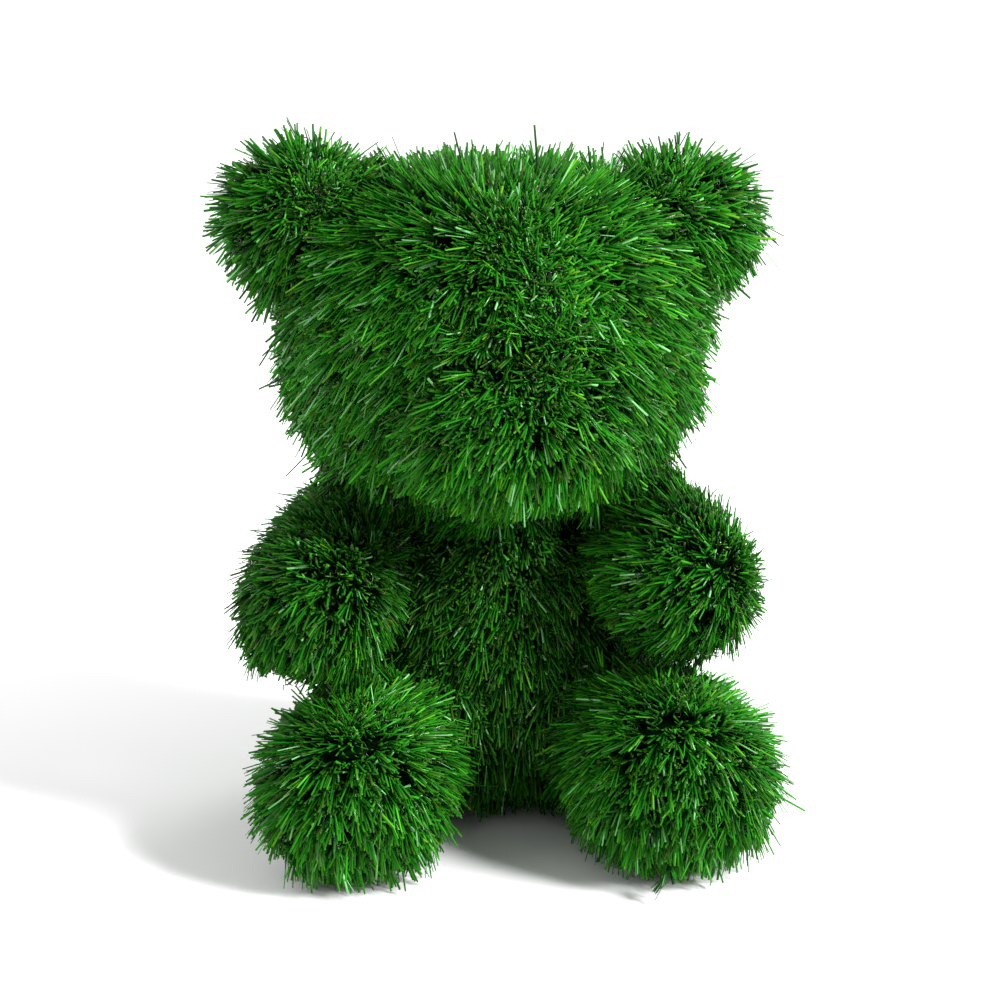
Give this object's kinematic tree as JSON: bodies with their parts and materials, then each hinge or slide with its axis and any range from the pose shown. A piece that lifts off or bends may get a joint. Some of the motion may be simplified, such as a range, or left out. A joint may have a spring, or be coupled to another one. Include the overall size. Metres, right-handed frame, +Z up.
{
  "type": "artificial topiary bear",
  "caption": "Seated bear figure covered all over with long artificial grass: round head with muzzle and ears, pear-shaped body, arms and legs reaching forward",
  "frame": {"origin": "on the floor, at the middle of the torso's flat underside", "axes": "+Z up, the bear faces -Y, and its own left side is +X"},
  "size_m": [0.3228, 0.3024, 0.4024],
  "materials": {
    "head": "satin green plastic grass",
    "muzzle": "satin green plastic grass",
    "torso": "satin green plastic grass",
    "ears": "satin green plastic grass",
    "arms": "satin green plastic grass",
    "legs": "satin green plastic grass"
  },
  "bodies": {
    "root": {"head": "head", "muzzle": "muzzle", "torso": "torso", "ear_left": "ears", "ear_right": "ears", "arm_left": "arms", "arm_right": "arms", "leg_left": "legs", "leg_right": "legs"}
  },
  "joints": []
}
